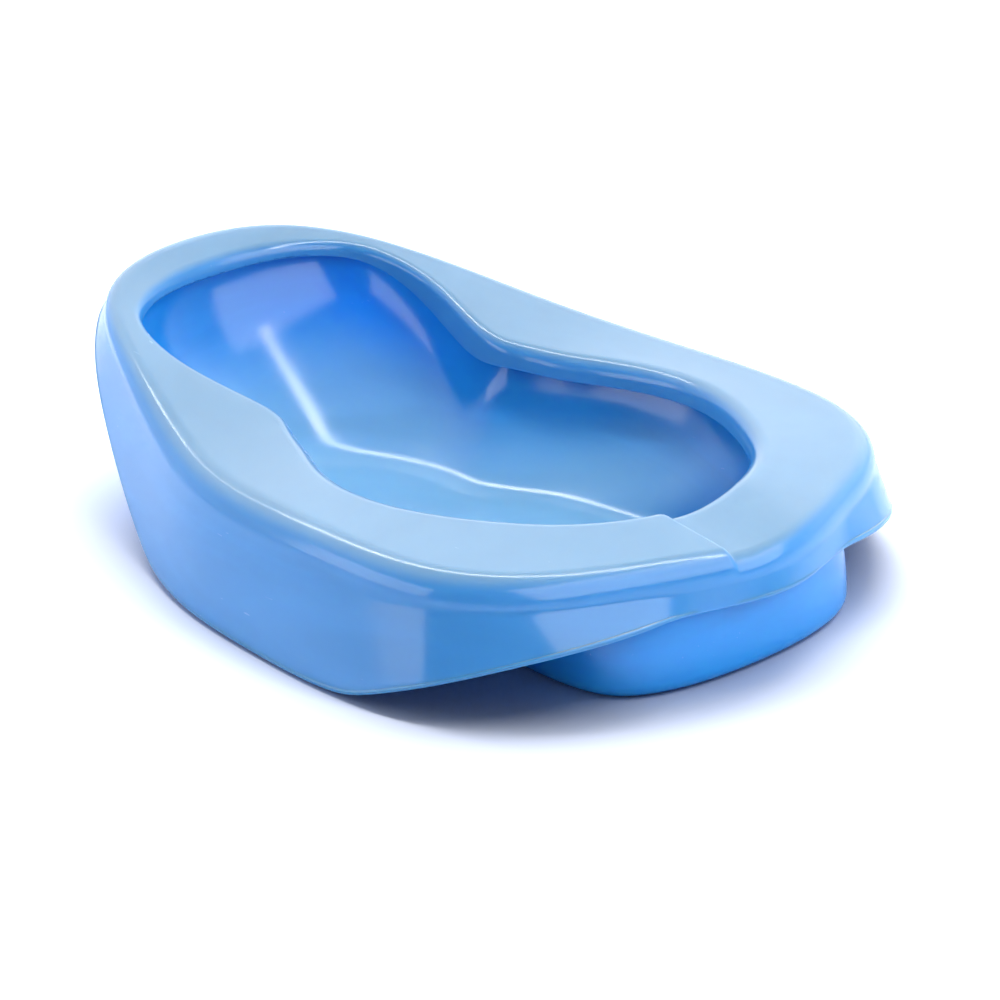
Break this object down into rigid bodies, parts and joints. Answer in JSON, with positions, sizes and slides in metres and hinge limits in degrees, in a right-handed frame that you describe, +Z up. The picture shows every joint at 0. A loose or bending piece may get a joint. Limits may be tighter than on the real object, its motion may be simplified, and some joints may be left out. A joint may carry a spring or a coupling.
{
  "type": "bedpan",
  "caption": "Contoured bedpan with a wide low end, keyhole opening with a rolled lip, deep flat-floored bowl and an outer skirt.",
  "frame": {"origin": "centre of the bounding box on the surface that the pan stands on", "axes": "+X towards the low, wide end, +Z up, +Y to the left as seen from the tall end"},
  "size_m": [0.4007, 0.3114, 0.1004],
  "materials": {
    "seat_plastic": "gloss light-blue polypropylene, seat shell",
    "bowl_plastic": "gloss light-blue polypropylene, bowl"
  },
  "bodies": {
    "root": {"bowl_bottom_radius": "bowl_plastic", "bowl_floor": "bowl_plastic", "bowl_wall_left": "bowl_plastic", "bowl_wall_low_end": "bowl_plastic", "bowl_wall_right": "bowl_plastic", "bowl_wall_tall_end": "bowl_plastic", "opening_lip": "seat_plastic", "outer_roll": "seat_plastic", "seat_deck_left": "seat_plastic", "seat_deck_low_end": "seat_plastic", "seat_deck_right": "seat_plastic", "seat_deck_tall_end": "seat_plastic", "skirt_left": "seat_plastic", "skirt_low_end": "seat_plastic", "skirt_right": "seat_plastic", "skirt_tall_end": "seat_plastic"}
  },
  "joints": []
}
